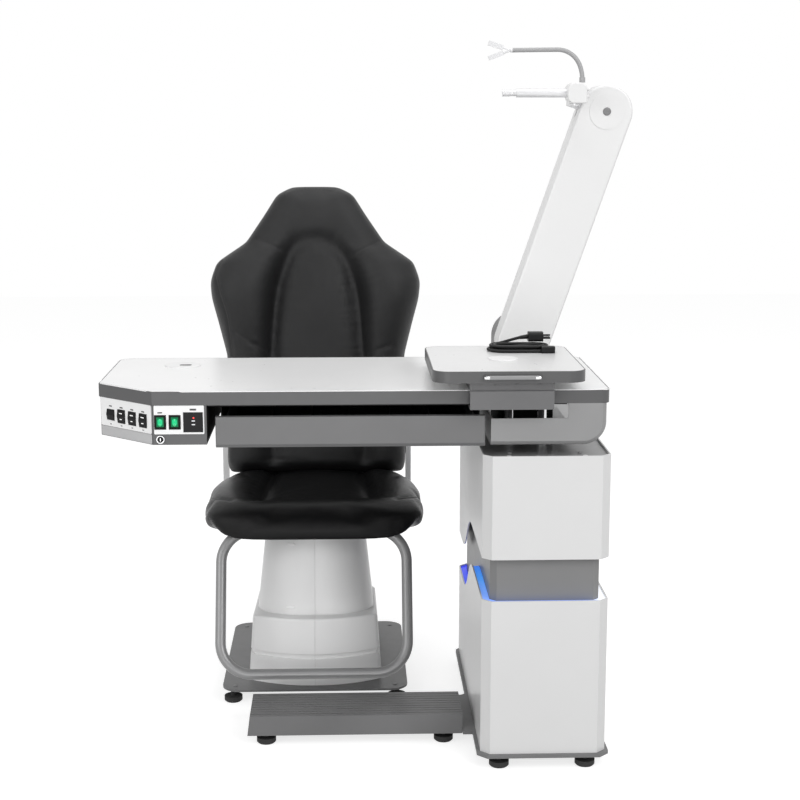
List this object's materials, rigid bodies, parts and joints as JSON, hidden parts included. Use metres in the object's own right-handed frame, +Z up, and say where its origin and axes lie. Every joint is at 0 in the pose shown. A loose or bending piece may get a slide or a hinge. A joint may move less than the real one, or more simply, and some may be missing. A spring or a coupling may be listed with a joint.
{
  "type": "optometry combination table",
  "caption": "Height-adjustable eye-examination table on a cantilever column, with a sliding tray, a drawer, a refractor arm, a footboard and a reclining patient chair.",
  "frame": {"origin": "bottom centre of the whole object, on the floor", "axes": "+Z up, +Y from the examiner's side towards the patient's chair, +X along the table to the column"},
  "size_m": [1.235, 1.13, 1.6148],
  "materials": {
    "grey_steel": "satin",
    "rubber": "matte",
    "white_sheet": "satin",
    "light_diffuser": "matte",
    "sleeve_grey": "satin",
    "lift_steel": "satin",
    "white_laminate": "satin",
    "grey_band": "satin",
    "white_cap": "satin",
    "grey_sheet": "satin",
    "bracket_grey": "satin",
    "lever_metal": "polished",
    "drawer_grey": "satin",
    "drawer_plastic": "matte",
    "panel_white": "satin",
    "panel_black": "gloss",
    "rocker_black": "gloss",
    "pedestal_grey": "satin",
    "white_plastic": "satin",
    "light_metal": "satin",
    "gooseneck_grey": "satin",
    "shroud_white": "satin",
    "pan_black": "satin",
    "leather": "satin",
    "ring_grey": "satin",
    "bracket_white": "satin",
    "shell_black": "matte",
    "cord_black": "matte",
    "rocker_green": "gloss"
  },
  "bodies": {
    "base": {"column_base_plate": "grey_steel", "levelling_feet": "rubber", "footboard": "grey_steel", "lower_housing": "white_sheet", "led_strip": "light_diffuser", "inner_sleeve": "sleeve_grey", "column_lift_outer": "lift_steel", "chair_base_plate": "grey_steel", "chair_cover_left": "white_plastic", "chair_cover_right": "white_plastic", "chair_lift_outer": "lift_steel"},
    "table": {"upper_housing": "white_sheet", "column_top_plate": "lift_steel", "column_lift_inner": "lift_steel", "table_support": "grey_steel", "support_posts": "lift_steel", "tabletop": "white_laminate", "table_edge_band": "grey_band", "table_grommet": "white_cap", "tray_rail": "lift_steel", "apron": "grey_sheet", "drawer_case": "lift_steel", "control_box": "grey_sheet", "switch_panels": "panel_white", "touch_panel": "panel_black", "arm_pedestal": "pedestal_grey"},
    "drawer": {"drawer_front": "drawer_grey", "drawer_tray": "drawer_plastic"},
    "tray": {"tray_board": "white_laminate", "tray_edge_band": "grey_band", "tray_bracket": "bracket_grey", "tray_grommet": "white_cap", "cord_hank": "cord_black", "mains_plug": "cord_black", "cord_connector": "cord_black"},
    "tray_lever": {"tray_lock_lever": "lever_metal"},
    "key": {"key_lock": "lever_metal"},
    "power_switch_1": {"power_rocker_1": "rocker_green"},
    "power_switch_2": {"power_rocker_2": "rocker_green"},
    "side_switch_1": {"side_rocker_1": "rocker_black"},
    "side_switch_2": {"side_rocker_2": "rocker_black"},
    "side_switch_3": {"side_rocker_3": "rocker_black"},
    "side_switch_4": {"side_rocker_4": "rocker_black"},
    "arm": {"arm_front_cover": "white_plastic", "arm_rear_cover": "white_plastic", "arm_bar": "lift_steel"},
    "tie_bar": {"arm_tie_bar": "lift_steel"},
    "head": {"head_carrier": "light_metal"},
    "lens_arm": {"head_block": "white_plastic", "lens_tube": "light_metal"},
    "lamp": {"lamp_gooseneck": "gooseneck_grey", "lamp_heads": "light_metal"},
    "chair_carriage": {"chair_inner_shroud": "shroud_white", "chair_lift_post": "lift_steel"},
    "seat": {"seat_pan": "pan_black", "seat_cushion": "leather", "footrest_ring": "ring_grey", "side_brackets": "bracket_white"},
    "back": {"back_shell": "shell_black", "back_cushion": "leather"}
  },
  "joints": [
    {"name": "table_lift", "type": "slide", "parent": "base", "child": "table", "axis": [0, 0, 1], "range_m": [-0.09, 0.11]},
    {"name": "drawer_slide", "type": "slide", "parent": "table", "child": "drawer", "axis": [0, -1, 0], "range_m": [0, 0.35]},
    {"name": "tray_slide", "type": "slide", "parent": "table", "child": "tray", "axis": [1, 0, 0], "range_m": [-0.54, 0.03]},
    {"name": "tray_lock", "type": "hinge", "parent": "tray", "child": "tray_lever", "pos_m": [0.27798, -0.561, 0.8975], "axis": [1, 0, 0], "range_deg": [0, 25]},
    {"name": "key_turn", "type": "hinge", "parent": "table", "child": "key", "pos_m": [-0.47102, -0.5105, 0.759], "axis": [0, 1, 0], "range_deg": [0, 90]},
    {"name": "power_press_1", "type": "hinge", "parent": "table", "child": "power_switch_1", "pos_m": [-0.47072, -0.506, 0.7966], "axis": [1, 0, 0], "range_deg": [-5, 5]},
    {"name": "power_press_2", "type": "hinge", "parent": "table", "child": "power_switch_2", "pos_m": [-0.43972, -0.506, 0.7966], "axis": [1, 0, 0], "range_deg": [-5, 5]},
    {"name": "side_press_1", "type": "hinge", "parent": "table", "child": "side_switch_1", "pos_m": [-0.50725, -0.48617, 0.7966], "axis": [0.7348, -0.6783, 0], "range_deg": [-5, 5]},
    {"name": "side_press_2", "type": "hinge", "parent": "table", "child": "side_switch_2", "pos_m": [-0.5337, -0.46175, 0.7966], "axis": [0.7348, -0.6783, 0], "range_deg": [-5, 5]},
    {"name": "side_press_3", "type": "hinge", "parent": "table", "child": "side_switch_3", "pos_m": [-0.56015, -0.43733, 0.7966], "axis": [0.7348, -0.6783, 0], "range_deg": [-5, 5]},
    {"name": "side_press_4", "type": "hinge", "parent": "table", "child": "side_switch_4", "pos_m": [-0.58661, -0.41291, 0.7966], "axis": [0.7348, -0.6783, 0], "range_deg": [-5, 5]},
    {"name": "arm_swing", "type": "hinge", "parent": "table", "child": "arm", "pos_m": [0.36048, -0.0105, 0.8876], "axis": [0, 1, 0], "range_deg": [-60, 0]},
    {"name": "tie_swing", "type": "hinge", "parent": "table", "child": "tie_bar", "pos_m": [0.33648, -0.0105, 0.8829], "axis": [0, 1, 0], "range_deg": [-60, 0]},
    {"name": "head_level", "type": "hinge", "parent": "arm", "child": "head", "pos_m": [0.55452, -0.0105, 1.45113], "axis": [0, 1, 0], "range_deg": [0, 60]},
    {"name": "lens_swivel", "type": "hinge", "parent": "head", "child": "lens_arm", "pos_m": [0.47332, -0.0535, 1.49403], "axis": [0, 0, 1], "range_deg": [-55, 55]},
    {"name": "lamp_swivel", "type": "hinge", "parent": "lens_arm", "child": "lamp", "pos_m": [0.48732, -0.0535, 1.49403], "axis": [0, 0, 1], "range_deg": [-90, 90]},
    {"name": "chair_lift", "type": "slide", "parent": "base", "child": "chair_carriage", "axis": [0, 0, 1], "range_m": [0, 0.2]},
    {"name": "seat_swivel", "type": "hinge", "parent": "chair_carriage", "child": "seat", "pos_m": [-0.15552, 0.1775, 0.403], "axis": [0, 0, 1], "range_deg": [-40, 25]},
    {"name": "recline", "type": "hinge", "parent": "seat", "child": "back", "pos_m": [-0.15552, 0.4775, 0.535], "axis": [-1, 0, 0], "range_deg": [0, 30]}
  ],
  "couplings": [
    {"joint": "tie_swing", "follows": "arm_swing", "ratio": 1},
    {"joint": "head_level", "follows": "arm_swing", "ratio": -1}
  ]
}
